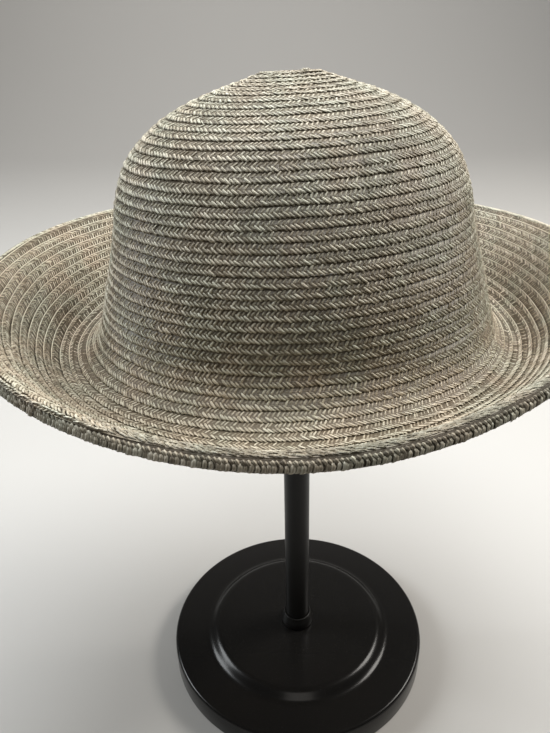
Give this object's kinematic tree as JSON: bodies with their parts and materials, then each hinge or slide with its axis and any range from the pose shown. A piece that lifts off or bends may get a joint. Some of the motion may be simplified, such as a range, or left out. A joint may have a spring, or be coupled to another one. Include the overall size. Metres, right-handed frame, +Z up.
{
  "type": "straw hat on a display stand",
  "caption": "Straw hat of sewn braid with an oval domed crown and a brim turned up all round, held up on a plain round display stand with a post.",
  "frame": {"origin": "middle of the underside of the stand's base, on the floor", "axes": "+Z up along the post; -Y is the hat's front, the side towards the camera; the crown's long axis runs along X"},
  "size_m": [0.3215, 0.3257, 0.3861],
  "materials": {
    "straw": "sewn plaited straw braid, dry and slightly glossy on the high strands",
    "edge_straw": "doubled row of the same straw braid, darker where it faces down",
    "lacquer": "glossy black lacquer"
  },
  "bodies": {
    "root": {"crown": "straw", "brim": "straw", "brim_edge": "edge_straw", "stand_base": "lacquer", "post_collar": "lacquer", "stand_post": "lacquer"}
  },
  "joints": []
}
